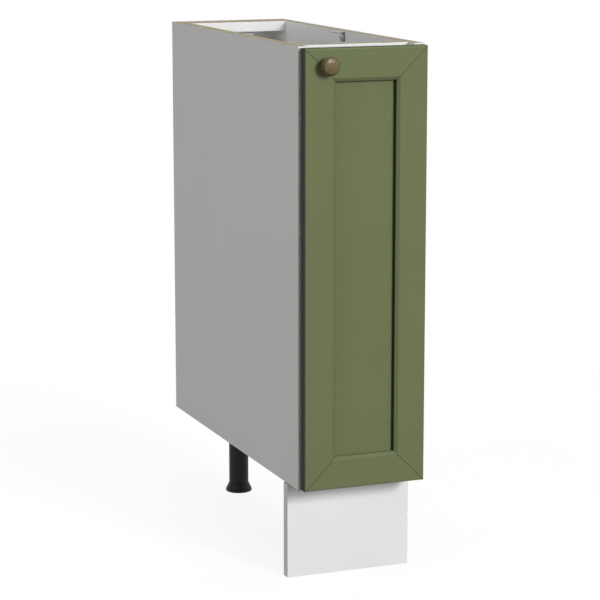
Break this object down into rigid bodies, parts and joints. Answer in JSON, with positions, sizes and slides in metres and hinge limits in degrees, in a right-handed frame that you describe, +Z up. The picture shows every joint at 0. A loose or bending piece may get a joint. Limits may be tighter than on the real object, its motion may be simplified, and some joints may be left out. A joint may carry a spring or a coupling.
{
  "type": "kitchen base cabinet",
  "caption": "Narrow kitchen base cabinet: open-topped white board carcass on adjustable legs, hinged green frame door with a round knob, and a clip-on plinth board.",
  "frame": {"origin": "on the floor, under the centre of the cabinet's overall box", "axes": "+Z up, +X to the right as seen from the front, +Y towards the wall; the door faces -Y"},
  "size_m": [0.2, 0.6244, 0.812],
  "materials": {
    "white_board": "white melamine-faced chipboard, satin",
    "white_edging": "white edge strip, satin",
    "white_hardboard": "white-faced hardboard",
    "green_lacquer": "olive green satin lacquer",
    "bronze": "antique bronze, satin",
    "black_plastic": "black moulded plastic",
    "hinge_steel": "nickel-plated steel",
    "screw_steel": "zinc-plated steel",
    "bracket_steel": "galvanised steel sheet",
    "zinc": "zinc-plated steel",
    "dowel_beech": "fluted beech",
    "clear_rubber": "clear soft plastic"
  },
  "bodies": {
    "carcass": {"left_side_panel": "white_board", "right_side_panel": "white_board", "bottom_panel": "white_board", "front_top_rail": "white_board", "rear_top_rail": "white_board", "shelf": "white_board", "left_edge_band": "white_edging", "right_edge_band": "white_edging", "bottom_edge_band": "white_edging", "shelf_edge_band": "white_edging", "rear_rail_edge_band": "white_edging", "back_panel": "white_hardboard", "front_left_leg_flange": "black_plastic", "front_left_leg_tube": "black_plastic", "front_right_leg_flange": "black_plastic", "front_right_leg_tube": "black_plastic", "rear_leg_flange": "black_plastic", "rear_leg_tube": "black_plastic", "lower_hinge_arm": "hinge_steel", "upper_hinge_arm": "hinge_steel", "lower_mounting_plate": "hinge_steel", "upper_mounting_plate": "hinge_steel", "hinge_arm_pins": "hinge_steel", "mounting_plate_screws": "screw_steel", "hinge_arm_screws": "screw_steel", "worktop_bracket_screws": "screw_steel", "leg_flange_screws": "screw_steel", "back_panel_nails": "screw_steel", "cam_bolts": "screw_steel", "shelf_pins": "screw_steel", "left_worktop_bracket": "bracket_steel", "right_worktop_bracket": "bracket_steel", "front_worktop_bracket": "bracket_steel", "cam_housings": "zinc", "dowels": "dowel_beech"},
    "hinge_levers": {"lower_hinge_lever": "hinge_steel", "upper_hinge_lever": "hinge_steel"},
    "door": {"door_left_stile": "green_lacquer", "door_right_stile": "green_lacquer", "door_top_rail": "green_lacquer", "door_bottom_rail": "green_lacquer", "door_panel": "green_lacquer", "knob": "bronze", "knob_screw": "screw_steel", "door_bumpers": "clear_rubber", "lower_hinge_cup": "hinge_steel", "upper_hinge_cup": "hinge_steel", "hinge_cup_pins": "hinge_steel", "hinge_cup_screws": "screw_steel"},
    "front_left_foot": {"front_left_foot": "black_plastic"},
    "front_right_foot": {"front_right_foot": "black_plastic"},
    "rear_foot": {"rear_foot": "black_plastic"},
    "plinth": {"plinth_board": "white_board", "front_left_plinth_clip": "black_plastic", "front_right_plinth_clip": "black_plastic", "plinth_clip_screws": "screw_steel"}
  },
  "joints": [
    {"name": "lever_swing", "type": "hinge", "parent": "carcass", "child": "hinge_levers", "pos_m": [0.061, -0.26375, 0.481], "axis": [0, 0, 1], "range_deg": [-40.8, 0]},
    {"name": "door_swing", "type": "hinge", "parent": "hinge_levers", "child": "door", "pos_m": [0.085, -0.27175, 0.481], "axis": [0, 0, 1], "range_deg": [0, 135.7]},
    {"name": "front_left_foot_travel", "type": "slide", "parent": "carcass", "child": "front_left_foot", "axis": [0, 0, -1], "range_m": [0, 0.025]},
    {"name": "front_right_foot_travel", "type": "slide", "parent": "carcass", "child": "front_right_foot", "axis": [0, 0, -1], "range_m": [0, 0.025]},
    {"name": "rear_foot_travel", "type": "slide", "parent": "carcass", "child": "rear_foot", "axis": [0, 0, -1], "range_m": [0, 0.025]},
    {"name": "plinth_pull", "type": "slide", "parent": "carcass", "child": "plinth", "axis": [0, -1, 0], "range_m": [0, 0.08]}
  ],
  "couplings": [
    {"joint": "lever_swing", "follows": "door_swing", "ratio": -0.3}
  ]
}
